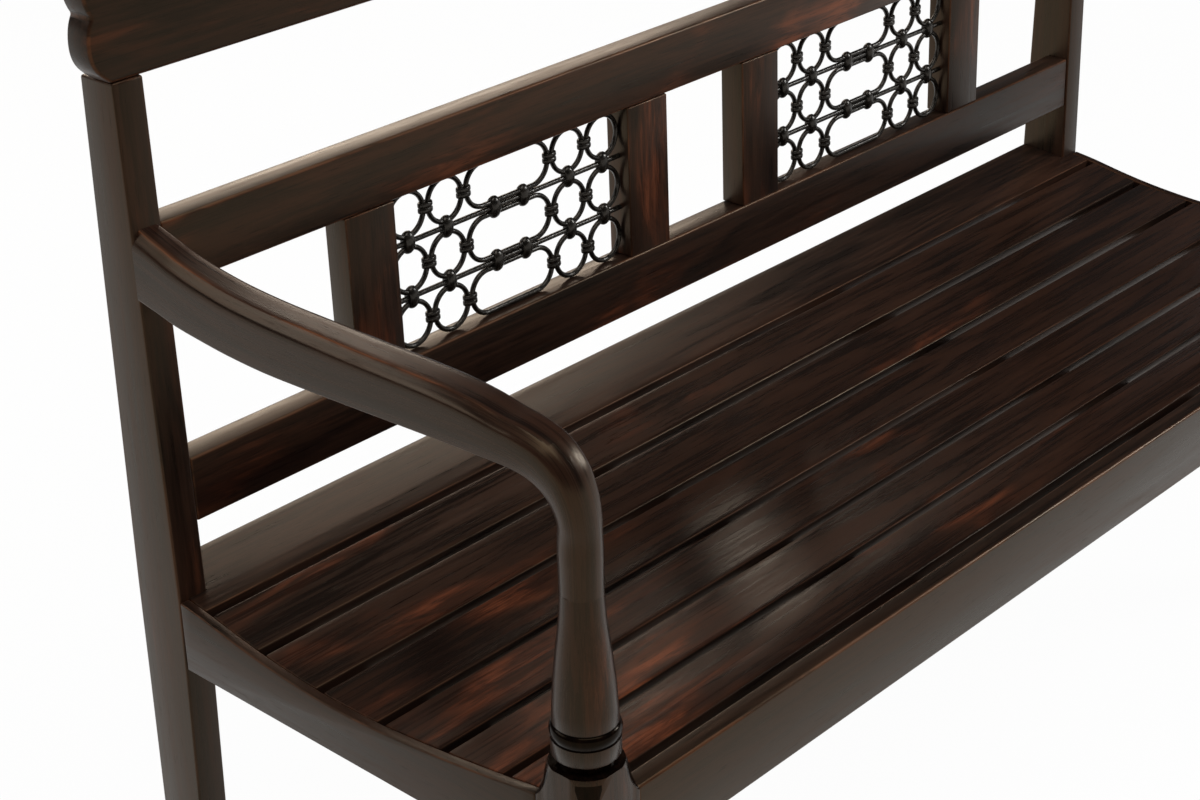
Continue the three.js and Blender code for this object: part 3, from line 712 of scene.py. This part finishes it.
def makeFrontRail():
    end = bench["halfLength"] - bench["blockWidth"] - bench["gap"]
    front = bench["frontY"] + seat["railSetback"]
    top = bench["seatHeight"] + rails["frontRise"]
    outline = rectangle((front, front + seat["railThickness"]), (bench["railBottom"], top))
    return sawPiece("front_rail_wood", outline, (-end, end), "x", rails["frontArris"])


def makeRearRail():
    end = bench["halfLength"] - bench["postWidth"] - bench["gap"]
    near = -rails["rearSetback"]
    far = near - rails["rearThickness"]
    low = [(bench["backY"] - near, bench["railBottom"]), (bench["backY"] - far, bench["railBottom"])]
    top = seatLine(far, near, seat["steps"], bench["slatThickness"] + bench["gap"])
    return sawPiece("rear_rail_wood", low + top, (-end, end), "x", rails["arris"])


leftSideRail = makeSideRail()
rightSideRail = mirrorCopy(leftSideRail, "side_rail_right_wood")
finishWood(leftSideRail, "side_rail_left", "y", rails["shifts"]["left"], rails["sideLook"])
finishWood(rightSideRail, "side_rail_right", "y", rails["shifts"]["right"], rails["sideLook"])
finishWood(makeFrontRail(), "front_rail", "x", rails["shifts"]["front"], rails["frontLook"])
finishWood(makeRearRail(), "rear_rail", "x", rails["shifts"]["rear"], rails["rearLook"])
bearerStain = makeWood("bearer_stain", "y", rails["shifts"]["bearers"], rails["bearerLook"])
for name in rails["bearers"]:
    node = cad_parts[name]
    node.data.materials.clear()
    node.data.materials.append(bearerStain)
print("rails made")

# Front posts: a turned profile, squared where the rails meet it

frontPost = {
    "sides": 96, "neckRise": 0.187, "blockDrop": 0.096, "blockArris": 0.0016, "smoothAngle": 35,
    # height as a share of the neck rise over the seat, and radius as a share of half the block
    "upperShares": [
        (1, 0.59), (0.9, 0.618), (0.82, 0.67), (0.7, 0.76), (0.57, 0.843), (0.46, 0.886), (0.386, 0.905),
        (0.378, 0.885), (0.374, 0.93), (0.363, 0.965), (0.349, 0.985), (0.335, 0.975), (0.322, 0.945),
        (0.317, 0.935), (0.312, 0.96), (0.235, 0.95), (0.227, 0.915), (0.222, 0.81), (0.188, 0.79),
        (0.182, 1.04), (0.16, 1.09), (0.085, 1.18), (0.035, 1.29), (0.005, 1.43),
    ],
    # drop as a share of the height from the floor to the block, and radius as above
    "lowerShares": [
        (0, 1.43), (0.03, 1.26), (0.07, 1.13), (0.088, 1.04), (0.095, 0.79), (0.107, 0.81), (0.11, 0.93),
        (0.155, 0.965), (0.16, 0.925), (0.172, 0.97), (0.184, 0.925), (0.188, 0.885), (0.2, 0.9),
        (0.4, 0.84), (0.6, 0.72), (0.8, 0.58), (0.885, 0.53), (0.89, 0.62), (0.92, 0.7), (0.95, 0.68),
        (1, 0.56),
    ],
    # a dark, barely reflecting finish on the grooves and bead, by the same shares, and painted shade on the
    # corners under the turning
    "darkRiseShares": [(0.314, 0.388), (0.18, 0.23)],
    "darkDropShares": [(0.085, 0.11), (0.158, 0.19)],
    "shadedCornerShares": (0.5, 0.985), "shadedCornerRiseShare": 0.16, "shadedCornerDropShare": 0.07,
    "shifts": {"front_post_left": 26.2, "front_post_right": 27.8}, "darkAndShadedShift": 25.3,
    "look": {"patches": 0.45, "tone": 1.2, "rub": 0.3, "sheen": 0.28, "level": 0.26},
    "darkAndShadedLook": {"patches": 0, "tone": 0.35, "rub": 0, "sheen": 0.14, "level": 0.07},
}


def turnedProfile():
    half, seatTop = bench["blockWidth"] / 2, bench["seatHeight"]
    blockBottom = seatTop - frontPost["blockDrop"]
    profile = []
    for drop, radius in reversed(frontPost["lowerShares"]):
        profile.append((blockBottom * (1 - drop), radius * half))
    for rise, radius in reversed(frontPost["upperShares"]):
        profile.append((seatTop + frontPost["neckRise"] * rise, radius * half))
    return profile


def turnPiece(name, profile, sides):
    # a circle drawn up ring by ring, each ring set to its radius
    clearSelection()
    height, radius = profile[0]
    place = (0, 0, height)
    bpy.ops.mesh.primitive_circle_add(vertices=sides, radius=radius, fill_type="NGON", location=place)
    piece = namePiece(name)
    editPiece(piece)
    for nextHeight, nextRadius in profile[1:]:
        bpy.ops.mesh.extrude_region_move(TRANSFORM_OT_translate={"value": (0, 0, nextHeight - height)})
        factor = nextRadius / radius
        bpy.ops.transform.resize(value=(factor, factor, 1), center_override=(0, 0, nextHeight))
        height, radius = nextHeight, nextRadius
    turnFacesOut()
    bpy.ops.object.transform_apply(location=True, rotation=True, scale=True)
    return piece


def makeFrontPost():
    turned = turnPiece("front_post_left_wood", turnedProfile(), frontPost["sides"])
    half, overrun = bench["blockWidth"] / 2, bench["overrun"]
    top = bench["seatHeight"] + frontPost["neckRise"] + overrun
    outline = rectangle((-half, half), (-overrun, top))
    square = sawPiece("square", outline, (-half, half), "y", frontPost["blockArris"])
    combine(turned, square, "INTERSECT")
    movePiece(turned, (half - bench["halfLength"], bench["frontY"] + half, 0))
    smoothPiece(turned, frontPost["smoothAngle"])
    return turned


def isDarkenedPlace(place, axis):
    # whether a place on the post takes the dark finish: a groove, the bead, or a corner under the turning,
    # the corners as painted shade
    half = bench["blockWidth"] / 2
    blockBottom = bench["seatHeight"] - frontPost["blockDrop"]
    rise = (place.z - bench["seatHeight"]) / frontPost["neckRise"]
    drop = (blockBottom - place.z) / blockBottom
    if any(low < rise < high for low, high in frontPost["darkRiseShares"]):
        return True
    if any(low < drop < high for low, high in frontPost["darkDropShares"]):
        return True
    # painted shade on the corners of the block under the turning
    near, far = sorted(abs(away) for away in place.xy - axis)
    inner, outer = frontPost["shadedCornerShares"]
    onShadedCorner = near > half * inner and far < half * outer
    above, below = frontPost["shadedCornerRiseShare"], frontPost["shadedCornerDropShare"]
    return onShadedCorner and (0 < rise < above or 0 < drop < below)


def darkenGroovesAndShadeCorners(post, side, material):
    # the dark finish on the grooves and bead, and painted shade on the corners under the turning
    post.data.materials.append(material)
    half = bench["blockWidth"] / 2
    axis = Vector((side * (bench["halfLength"] - half), bench["frontY"] + half))
    for face in post.data.polygons:
        face.material_index = int(isDarkenedPlace(face.center, axis))


leftFront = makeFrontPost()
rightFront = mirrorCopy(leftFront, "front_post_right_wood")
darkAndShadedStain = makeWood("dark_and_shaded_stain", "z", frontPost["darkAndShadedShift"], frontPost["darkAndShadedLook"])
for piece, side, (node, shift) in zip((leftFront, rightFront), (-1, 1), frontPost["shifts"].items()):
    finishWood(piece, node, "z", shift, frontPost["look"])
    darkenGroovesAndShadeCorners(piece, side, darkAndShadedStain)
print("front posts made")

# Arms

arms = {
    "width": 0.042, "height": 0.050, "topRise": 0.327, "elbowRise": 0.235, "elbowSetback": 0.080,
    "undersideShare": 0.82, "neckRadius": 0.0174, "steps": 4, "wearFade": 0.06,
    "topShare": 0.9, "smoothAngle": 50, "shifts": {"arm_left": 30.4, "arm_right": 31.9},
    "look": {"patches": 0.3, "tone": 1.1, "rub": 0.8, "sheen": 0.26, "level": 0.29},
    # painted shade on the arm's top faces: a copy of the finish with weak reflection
    "topShadingLook": {"patches": 0.6, "tone": 1.2, "rub": 0.8, "sheen": 0.3, "level": 0.1},
    # the section, across and up, as shares of half the width and half the height
    "sectionShares": [
        (-1, -0.93), (-1, -0.3), (-1, 0.2), (-1, 0.47), (-0.99, 0.56), (-0.955, 0.65), (-0.88, 0.73),
        (-0.78, 0.8), (-0.67, 0.88), (-0.57, 0.955), (-0.52, 0.985), (-0.46, 1), (-0.2, 1), (0.1, 1),
        (0.4, 0.998), (0.7, 0.99), (0.88, 0.955), (0.97, 0.86), (1, 0.7), (1, 0.2), (1, -0.3), (1, -0.75),
        (0.985, -0.9), (0.93, -0.97), (0.8, -1), (0.5, -1), (0.2, -1), (-0.1, -1), (-0.4, -1), (-0.7, -1),
        (-0.9, -1), (-0.96, -0.99), (-0.99, -0.97),
    ],
    "rubbed": {9: 0.3, 10: 0.9, 11: 0.2, 31: 0.4, 32: 0.4},  # corners of the section that wear
    # shares of the run, of the height for bottom and top, and of the width for width and outer setback,
    # then the roundness of the section
    "stationShares": [
        (-0.016, 0.379, 1.65, 0.7346, -0.003, 0), (0.034, 0.28, 1.49, 0.75, 0, 0),
        (0.08, 0.18, 1.34, 0.775, 0, 0), (0.14, 0.11, 1.21, 0.81, 0, 0),
        (0.21, 0.05, 1.11, 0.845, 0, 0), (0.3, 0.02, 1.05, 0.88, 0, 0),
        (0.4, 0.045, 1.03, 0.915, 0, 0), (0.51, 0.09, 1.015, 0.95, 0, 0), (0.62, 0.139, 1.02, 0.965, 0, 0),
        (0.7, 0.169, 1.016, 0.965, 0, 0.02), (0.77, 0.181, 0.97, 0.955, 0.01, 0.06),
        (0.82, 0.182, 0.888, 0.945, 0.025, 0.11),
    ],
    # shares of the turn, of the way from arm to neck for underside and top, and of the width for width
    # and outer setback, then the roundness
    "elbowShares": [
        (0.1, 0.05, 0.311, 0.93, 0.05, 0.2), (0.28, 0.073, 0.311, 0.91, 0.085, 0.34),
        (0.46, 0.162, 0.448, 0.885, 0.13, 0.5), (0.64, 0.38, 0.689, 0.86, 0.18, 0.68),
        (0.82, 0.654, 0.905, 0.84, 0.235, 0.86), (1, 1, 1, 0.83, 0.285, 1),
    ],
    # share of the drop to the joint, share of the neck radius
    "neckShares": [(0.35, 1.02), (0.7, 1.01), (1, 1.01)],
}


def stationRings():
    # rings of the section from the rear post to the elbow
    width, height, top = arms["width"], arms["height"], bench["seatHeight"] + arms["topRise"]
    rings = []
    for run, low, high, wide, inset, roundness in arms["stationShares"]:
        bottomZ, topZ = top - height * (1 - low), top - height * (1 - high)
        x = width * (inset + wide / 2) - bench["halfLength"]
        middle = Vector((x, bench["backY"] - bench["seatRun"] * run, (bottomZ + topZ) / 2))
        up = Vector((0, 0, 1))
        rings.append(sectionRing(middle, up, width * wide / 2, (topZ - bottomZ) / 2, roundness))
    return rings


def elbowRings():
    # rings round the bend, which end as a circle over the neck
    width, neck = arms["width"], arms["neckRadius"]
    pivot = Vector((0, bench["frontY"] + arms["elbowSetback"], bench["seatHeight"] + arms["elbowRise"]))
    outerStart = arms["topRise"] - arms["elbowRise"]
    innerStart = outerStart - arms["height"] * arms["undersideShare"]
    axisDistance = arms["elbowSetback"] - bench["blockWidth"] / 2
    rings = []
    for turn, underside, topShare, wide, inset, roundness in arms["elbowShares"]:
        angle = turn * math.pi / 2
        up = Vector((0, -math.sin(angle), math.cos(angle)))
        inner = innerStart + (axisDistance - neck - innerStart) * underside
        outer = outerStart + (axisDistance + neck - outerStart) * topShare
        atNeck = turn == 1
        x = bench["blockWidth"] / 2 if atNeck else width * (inset + wide / 2)
        half = neck if atNeck else width * wide / 2
        middle = Vector((x - bench["halfLength"], 0, 0)) + pivot + up * (inner + outer) / 2
        rings.append(sectionRing(middle, up, half, (outer - inner) / 2, roundness))
    return rings


def neckRings():
    # round rings down to the turned post
    half = bench["blockWidth"] / 2
    length = arms["elbowRise"] - frontPost["neckRise"] + bench["gap"]
    rings = []
    for drop, radius in arms["neckShares"]:
        z = bench["seatHeight"] + arms["elbowRise"] - length * drop
        middle = Vector((half - bench["halfLength"], bench["frontY"] + half, z))
        reach = arms["neckRadius"] * radius
        rings.append(sectionRing(middle, Vector((0, -1, 0)), reach, reach, 1))
    return rings


def sectionRing(middle, up, halfWidth, halfHeight, roundness):
    ring = []
    for across, rise in arms["sectionShares"]:
        angle = math.atan2(rise, across)
        acrossShare = across * (1 - roundness) + math.cos(angle) * roundness
        riseShare = rise * (1 - roundness) + math.sin(angle) * roundness
        ring.append(middle + Vector((halfWidth * acrossShare, 0, 0)) + up * halfHeight * riseShare)
    return ring


def ringPlaces(rings):
    # how far along the arm each ring is
    places = [0]
    for before, after in zip(rings, rings[1:]):
        travel = sum((b - a).length for a, b in zip(before, after)) / len(before)
        places.append(places[-1] + travel)
    return places


def finerRings(rings, steps):
    # more rings between the given ones, on smooth curves through their points
    places = ringPlaces(rings)
    finer = []
    for index in range(len(rings) - 1):
        for step in range(steps):
            place = places[index] + (places[index + 1] - places[index]) * step / steps
            ring = []
            for corner in range(len(rings[0])):
                axes = [[given[corner][axis] for given in rings] for axis in range(3)]
                ring.append(Vector([smoothCurve(places, values, place) for values in axes]))
            finer.append(ring)
    finer.append(rings[-1])
    return finer


def loftPiece(name, rings, wear, grain):
    # circles of the same count set to each ring, joined and bridged, with their wear and grain
    circles = []
    for ring, ringWear, ringGrain in zip(rings, wear, grain):
        clearSelection()
        bpy.ops.mesh.primitive_circle_add(vertices=len(ring), radius=1)
        circle = bpy.context.object
        for vertex, place in zip(circle.data.vertices, ring):
            vertex.co = place
        worn = circle.data.attributes.new("wear", "FLOAT", "POINT")
        along = circle.data.attributes.new("grain", "FLOAT_VECTOR", "POINT")
        for corner in range(len(ring)):
            worn.data[corner].value = ringWear[corner]
            along.data[corner].vector = ringGrain[corner]
        circles.append(circle)
    piece = joinPieces(name, circles)
    editPiece(piece)
    bpy.ops.mesh.bridge_edge_loops()
    bpy.ops.mesh.select_all(action="DESELECT")
    bpy.ops.mesh.select_mode(type="EDGE")
    bpy.ops.mesh.select_non_manifold()
    bpy.ops.mesh.edge_face_add()
    turnFacesOut()
    return piece


def makeArm():
    # the grain follows the bend, and the corners are rubbed where the section is square
    rings = finerRings(stationRings() + elbowRings() + neckRings(), arms["steps"])
    elbowY = bench["backY"] - bench["seatRun"] * arms["stationShares"][-1][0]
    halfWidth, halfHeight = arms["width"] / 2, arms["height"] / 2
    wear, grain = [], []
    for ring, place in zip(rings, ringPlaces(rings)):
        square = min(max((ring[0].y - elbowY) / arms["wearFade"], 0), 1)
        wear.append([arms["rubbed"].get(corner, 0) * square for corner in range(len(ring))])
        section = [(across * halfWidth, rise * halfHeight) for across, rise in arms["sectionShares"]]
        grain.append([(place, across, rise) for across, rise in section])
    arm = loftPiece("arm_left_wood", rings, wear, grain)
    smoothPiece(arm, arms["smoothAngle"])
    return arm


leftArm = makeArm()
rightArm = mirrorCopy(leftArm, "arm_right_wood")
for piece, (node, shift) in zip((leftArm, rightArm), arms["shifts"].items()):
    finishWood(piece, node, "arm", shift, arms["look"], "top", arms["topShadingLook"], arms["topShare"])
print("arms made")

# Grilles

grille = {
    "bar": 0.0054, "setback": 0.0145, "rows": 3, "ovalRun": 0.1195, "rodEntry": 0.008,
    "ovalCollarShare": 0.34,  # from collar to collar on an oval
    "ringSides": 42, "barSides": 10, "fittingSides": 20, "smoothAngle": 50,
    # across, front to back, and along the bar or up it
    "collar": (0.0235, 0.0125, 0.0115), "clamp": (0.018, 0.0106, 0.011),
    # height up the fitting and radius, as shares
    "collarShares": [
        (0, 0.72), (0.06, 0.82), (0.18, 0.92), (0.34, 0.985), (0.5, 1), (0.66, 0.985), (0.82, 0.92),
        (0.94, 0.82), (1, 0.72),
    ],
    "clampShares": [
        (0, 0.84), (0.05, 0.94), (0.14, 0.99), (0.34, 0.99), (0.43, 0.95), (0.47, 0.87), (0.53, 0.87),
        (0.57, 0.95), (0.66, 0.99), (0.86, 0.99), (0.95, 0.94), (1, 0.84),
    ],
}


def grilleLevels():
    # the height of a loop, and the levels of the rows and of the rods between them
    bottom = bench["seatHeight"] + backFrame["lowerRise"] + backFrame["lowerWidth"]
    top = bench["seatHeight"] + backFrame["upperRise"]
    gap, bar, count = bench["gap"], grille["bar"], grille["rows"]
    loop = (top - bottom - (count - 1) * bar - 2 * count * gap) / count
    step = loop + 2 * gap + bar
    rows = [bottom + gap + loop / 2 + step * index for index in range(count)]
    rods = [bottom + loop + 2 * gap + bar / 2 + step * index for index in range(count - 1)]
    return loop, rows, rods


def makeLoop(length, height):
    clearSelection()
    bpy.ops.mesh.primitive_torus_add(
        major_radius=(height - grille["bar"]) / 2, minor_radius=grille["bar"] / 2,
        major_segments=grille["ringSides"], minor_segments=grille["barSides"], rotation=(math.pi / 2, 0, 0),
    )
    loop = bpy.context.object
    bpy.ops.object.transform_apply(location=False, rotation=True, scale=False)
    spread = (length - height) / 2
    for vertex in loop.data.vertices:
        vertex.co.x += spread if vertex.co.x > 0 else -spread
    return loop


def makeFitting(profile, size, along):
    # a turned band about a bar
    across, depth, length = size
    turned = [((rise - 0.5) * length, radius / 2) for rise, radius in profile]
    fitting = turnPiece("fitting", turned, grille["fittingSides"])
    editPiece(fitting)
    bpy.ops.transform.resize(value=(across, depth, 1), center_override=(0, 0, 0))
    if along == "x":
        bpy.ops.transform.rotate(value=math.pi / 2, orient_axis="Y", center_override=(0, 0, 0))
    leaveEdit()
    return fitting


def placeCopy(source, place):
    makeActive(source)
    bpy.ops.object.duplicate()
    copy = bpy.context.object
    movePiece(copy, place)
    return copy


def loopCentres(loop):
    oval = grille["ovalRun"] / 2 + bench["gap"] + loop / 2
    following = oval + loop + bench["gap"]
    return [-following, -oval, 0, oval, following]


def finishIron(parts, name, node):
    piece = joinPieces(name, parts)
    leanBack(piece)
    smoothPiece(piece, grille["smoothAngle"])
    finishPiece(piece, blackIron, node)


def makeGrille(side, name, masters):
    loop, rows, rods = grilleLevels()
    middle = side * (backFrame["middleWindow"] + backFrame["grilleOpening"]) / 2
    middle += side * backFrame["stileWidth"]
    y = backRange()[0] + grille["setback"]
    centres = loopCentres(loop)
    for row, level in enumerate(rows):
        parts = []
        for centre in centres:
            kind, length = ("loop", loop) if centre else ("oval", grille["ovalRun"])
            parts.append(placeCopy(masters[kind], (middle + centre, y, level)))
            if centre != centres[-1]:
                x = middle + centre + length / 2 + bench["gap"] / 2
                parts.append(placeCopy(masters["clamp"], (x, y, level)))
        finishIron(parts, f"grille_{name}_row_{row + 1}", f"grille_{name}_loops_{row + 1}")
    onOval = grille["ovalRun"] * grille["ovalCollarShare"] / 2
    collars = [centre for centre in centres if centre] + [-onOval, onOval]
    for row, level in enumerate(rods):
        parts = [placeCopy(masters["rod"], (middle, y, level))]
        for centre in collars:
            parts.append(placeCopy(masters["collar"], (middle + centre, y, level)))
        finishIron(parts, f"grille_{name}_bar_{row + 1}", f"grille_{name}_rod_{row + 1}")


def makeGrilles():
    loop = grilleLevels()[0]
    bar, rodLength = grille["bar"], backFrame["grilleOpening"] + 2 * grille["rodEntry"]
    masters = {
        "loop": makeLoop(loop, loop),
        "oval": makeLoop(grille["ovalRun"], loop),
        "clamp": makeFitting(grille["clampShares"], grille["clamp"], "z"),
        "collar": makeFitting(grille["collarShares"], grille["collar"], "x"),
        "rod": makeFitting([(0, 1), (1, 1)], (bar, bar, rodLength), "x"),
    }
    makeGrille(-1, "left", masters)
    makeGrille(1, "right", masters)
    for master in masters.values():
        bpy.data.objects.remove(master)


makeGrilles()
print("grilles made")

# Floor, light and camera

studio = {
    "floorSize": 60, "floorColour": (0.86, 0.86, 0.855), "floorRoughness": 0.9, "glowShare": 0.97,
    "wallLight": 1, "darkWall": 0.12, "wallTurn": (0.2, 0.9), "wallTop": (0.03, 0.12), "ceilingLight": 0.04,
    "lampTarget": (0, 0, 0.6),
    "lamps": [  # name, place, size, power, colour
        ("back_strip", (1.27, 3, 2.02), (2.7, 0.66), 40, (1, 0.86, 0.72)),
        ("window_light", (2.62, 3, 2.5), (0.4, 0.9), 0.6, (1, 0.76, 0.6)),
        ("back_glow", (1.3, 3.05, 3.5), (2.4, 0.8), 2.2, (1, 0.87, 0.74)),
        ("left_panel", (-2.6, 2.6, 3.1), (2.4, 1.6), 33, (0.94, 0.94, 1)),
        ("top_light", (-0.6, -0.8, 4.2), (3, 3), 90, (1, 1, 1)),
        ("side_light", (1.9, -1.3, 1.86), (0.5, 0.8), 34, (0.9, 0.95, 1)),
    ],
    "lens": 71.17, "sensor": 36,
    "camera": (-1.8128, -1.3162, 1.5654), "cameraTurn": (63.312, 1.265, -47.392),  # metres and degrees
}


def seesBackground(tree):
    # camera, glossy and transmission rays
    path = addNode(tree, "ShaderNodeLightPath")
    seen = calculate(tree, "MAXIMUM", path.outputs["Is Camera Ray"], path.outputs["Is Glossy Ray"])
    return calculate(tree, "MAXIMUM", seen, path.outputs["Is Transmission Ray"])


def makeFloor():
    clearSelection()
    bpy.ops.mesh.primitive_plane_add(size=studio["floorSize"])
    floor = namePiece("studio_floor")
    material, tree = newMaterial("paleFloor")
    shader = tree.nodes["Principled BSDF"]
    values = {"Base Color": studio["floorColour"], "Roughness": studio["floorRoughness"]}
    fillSockets(tree, shader, values)
    glow = addNode(tree, "ShaderNodeEmission").outputs["Emission"]
    share = calculate(tree, "MULTIPLY", seesBackground(tree), studio["glowShare"])
    mix = addNode(tree, "ShaderNodeMixShader", {0: share, 1: shader.outputs["BSDF"], 2: glow})
    fillSockets(tree, tree.nodes["Material Output"], {"Surface": mix.outputs["Shader"]})
    floor.data.materials.append(material)


def makeWorld():
    # white walls under a dim ceiling, and darker walls behind the seat's right
    world = bpy.data.worlds.new("studioWorld")
    bpy.context.scene.world = world
    world.use_nodes = True
    tree = world.node_tree
    direction = addNode(tree, "ShaderNodeTexCoord").outputs["Generated"]
    place = addNode(tree, "ShaderNodeSeparateXYZ", {"Vector": direction}).outputs
    toward = calculate(tree, "ADD", place["X"], place["Y"])
    wall = remap(tree, toward, *studio["wallTurn"], studio["wallLight"], studio["darkWall"])
    belowTop = remap(tree, place["Z"], *studio["wallTop"], 1, 0)
    strength = calculate(tree, "MULTIPLY", wall, belowTop)
    strength = calculate(tree, "ADD", strength, studio["ceilingLight"])
    fillSockets(tree, tree.nodes["Background"], {"Color": (1, 1, 1), "Strength": strength})


def addLamp(name, place, target, size, power, colour):
    clearSelection()
    bpy.ops.object.light_add(type="AREA", location=place)
    lamp = bpy.context.object
    lamp.name = name
    lamp.data.shape = "RECTANGLE"
    lamp.data.size, lamp.data.size_y = size
    lamp.data.energy = power
    lamp.data.color = colour
    lamp.rotation_euler = (Vector(target) - Vector(place)).to_track_quat("-Z", "Y").to_euler()


def makeCamera():
    clearSelection()
    turn = [math.radians(angle) for angle in studio["cameraTurn"]]
    bpy.ops.object.camera_add(location=studio["camera"], rotation=turn)
    camera = bpy.context.object
    camera.name = "photo_camera"
    camera.data.lens = studio["lens"]
    camera.data.sensor_width = studio["sensor"]
    bpy.context.scene.camera = camera


makeFloor()
makeWorld()
for name, place, size, power, colour in studio["lamps"]:
    addLamp(name, place, studio["lampTarget"], size, power, colour)
makeCamera()
bpy.context.scene.view_settings.view_transform = "Standard"
print("studio made")
